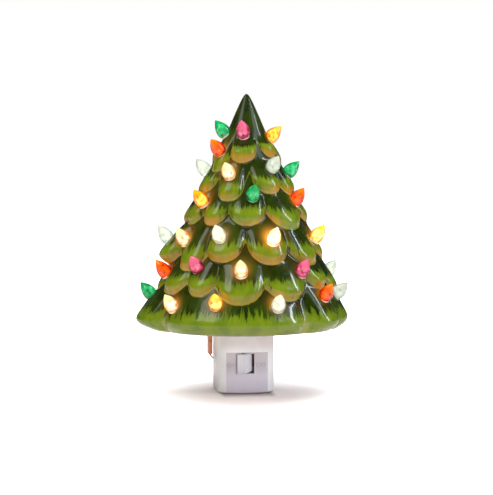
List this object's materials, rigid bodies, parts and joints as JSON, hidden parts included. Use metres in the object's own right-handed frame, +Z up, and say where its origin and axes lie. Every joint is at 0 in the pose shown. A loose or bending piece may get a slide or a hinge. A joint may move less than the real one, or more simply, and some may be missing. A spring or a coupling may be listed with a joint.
{
  "type": "christmas tree night light",
  "caption": "Plug-in night light: a glazed ceramic tree with coloured pin lights, clipped on a small switched housing that carries a candelabra lamp.",
  "frame": {"origin": "on the rear cover's flat rear face, midway between the two blades and at their mid height", "axes": "+Y points into the wall, along the blades; the tree faces -Y; +Z is up; +X is to the right as the tree is seen from its front"},
  "size_m": [0.1263, 0.0896, 0.177],
  "materials": {
    "green_glaze": "glossy green glaze that breaks lighter on the edges",
    "white_plastic": "smooth moulded, semi-gloss",
    "rocker_plastic": "smooth moulded, glossy",
    "socket_plastic": "satin moulded",
    "copper_spring": "rolled copper-coloured strip",
    "brass": "stamped, satin",
    "plated_steel": "zinc plated",
    "solder": "dull solder",
    "black_glass": "opaque black glass insulator",
    "clear_glass": "clear lamp glass",
    "tungsten": "glowing wire",
    "green_pin": "transparent acrylic, lit from behind",
    "pink_pin": "transparent acrylic, lit from behind",
    "amber_pin": "transparent acrylic, lit from behind",
    "red_pin": "transparent acrylic, lit from behind",
    "orange_pin": "transparent acrylic, lit from behind",
    "yellow_pin": "transparent acrylic, lit from behind",
    "white_pin": "clear acrylic, lit warm white from behind",
    "clear_pin": "clear acrylic"
  },
  "bodies": {
    "base": {"front_housing": "white_plastic", "rear_cover": "white_plastic", "cover_screw": "plated_steel", "blade_neutral": "brass", "blade_hot": "brass", "neutral_strip": "brass", "hot_contact": "brass", "switch_leaf": "brass", "socket_collar": "socket_plastic", "socket_sleeve": "brass", "centre_contact": "brass"},
    "switch": {"switch_rocker": "rocker_plastic"},
    "shade": {"tree_shell": "green_glaze", "shade_clip": "copper_spring", "pin_01_green": "green_pin", "pin_02_pink": "pink_pin", "pin_03_amber": "amber_pin", "pin_04_red": "red_pin", "pin_05_clear": "clear_pin", "pin_06_white": "white_pin", "pin_07_clear": "clear_pin", "pin_08_green": "green_pin", "pin_09_green": "green_pin", "pin_10_orange": "orange_pin", "pin_11_red": "red_pin", "pin_12_clear": "clear_pin", "pin_13_white": "white_pin", "pin_14_clear": "clear_pin", "pin_15_white": "white_pin", "pin_16_yellow": "yellow_pin", "pin_17_red": "red_pin", "pin_18_pink": "pink_pin", "pin_19_white": "white_pin", "pin_20_pink": "pink_pin", "pin_21_clear": "clear_pin", "pin_22_green": "green_pin", "pin_23_white": "white_pin", "pin_24_yellow": "yellow_pin", "pin_25_clear": "clear_pin", "pin_26_red": "red_pin", "pin_27_clear": "clear_pin"},
    "lamp_carrier": {"lamp_contact_tip": "solder"},
    "lamp": {"lamp_insulator": "black_glass", "lamp_screw_shell": "brass", "lamp_glass": "clear_glass", "lamp_stem": "clear_glass", "lamp_filament": "tungsten"}
  },
  "joints": [
    {"name": "switch_turn", "type": "hinge", "parent": "base", "child": "switch", "pos_m": [-0.0014, -0.0239, -0.006], "axis": [0, 0, -1], "range_deg": [0, 40]},
    {"name": "shade_lift", "type": "slide", "parent": "base", "child": "shade", "axis": [0, 0, 1], "range_m": [0, 0.075]},
    {"name": "lamp_rise", "type": "slide", "parent": "base", "child": "lamp_carrier", "axis": [0, 0, 1], "range_m": [0, 0.01524]},
    {"name": "lamp_turn", "type": "hinge", "parent": "lamp_carrier", "child": "lamp", "pos_m": [0, -0.0132, 0.03], "axis": [0, 0, 1], "range_deg": [0, 2160]}
  ],
  "couplings": [
    {"joint": "lamp_turn", "follows": "lamp_rise", "rad_per_m": 2473.7}
  ]
}
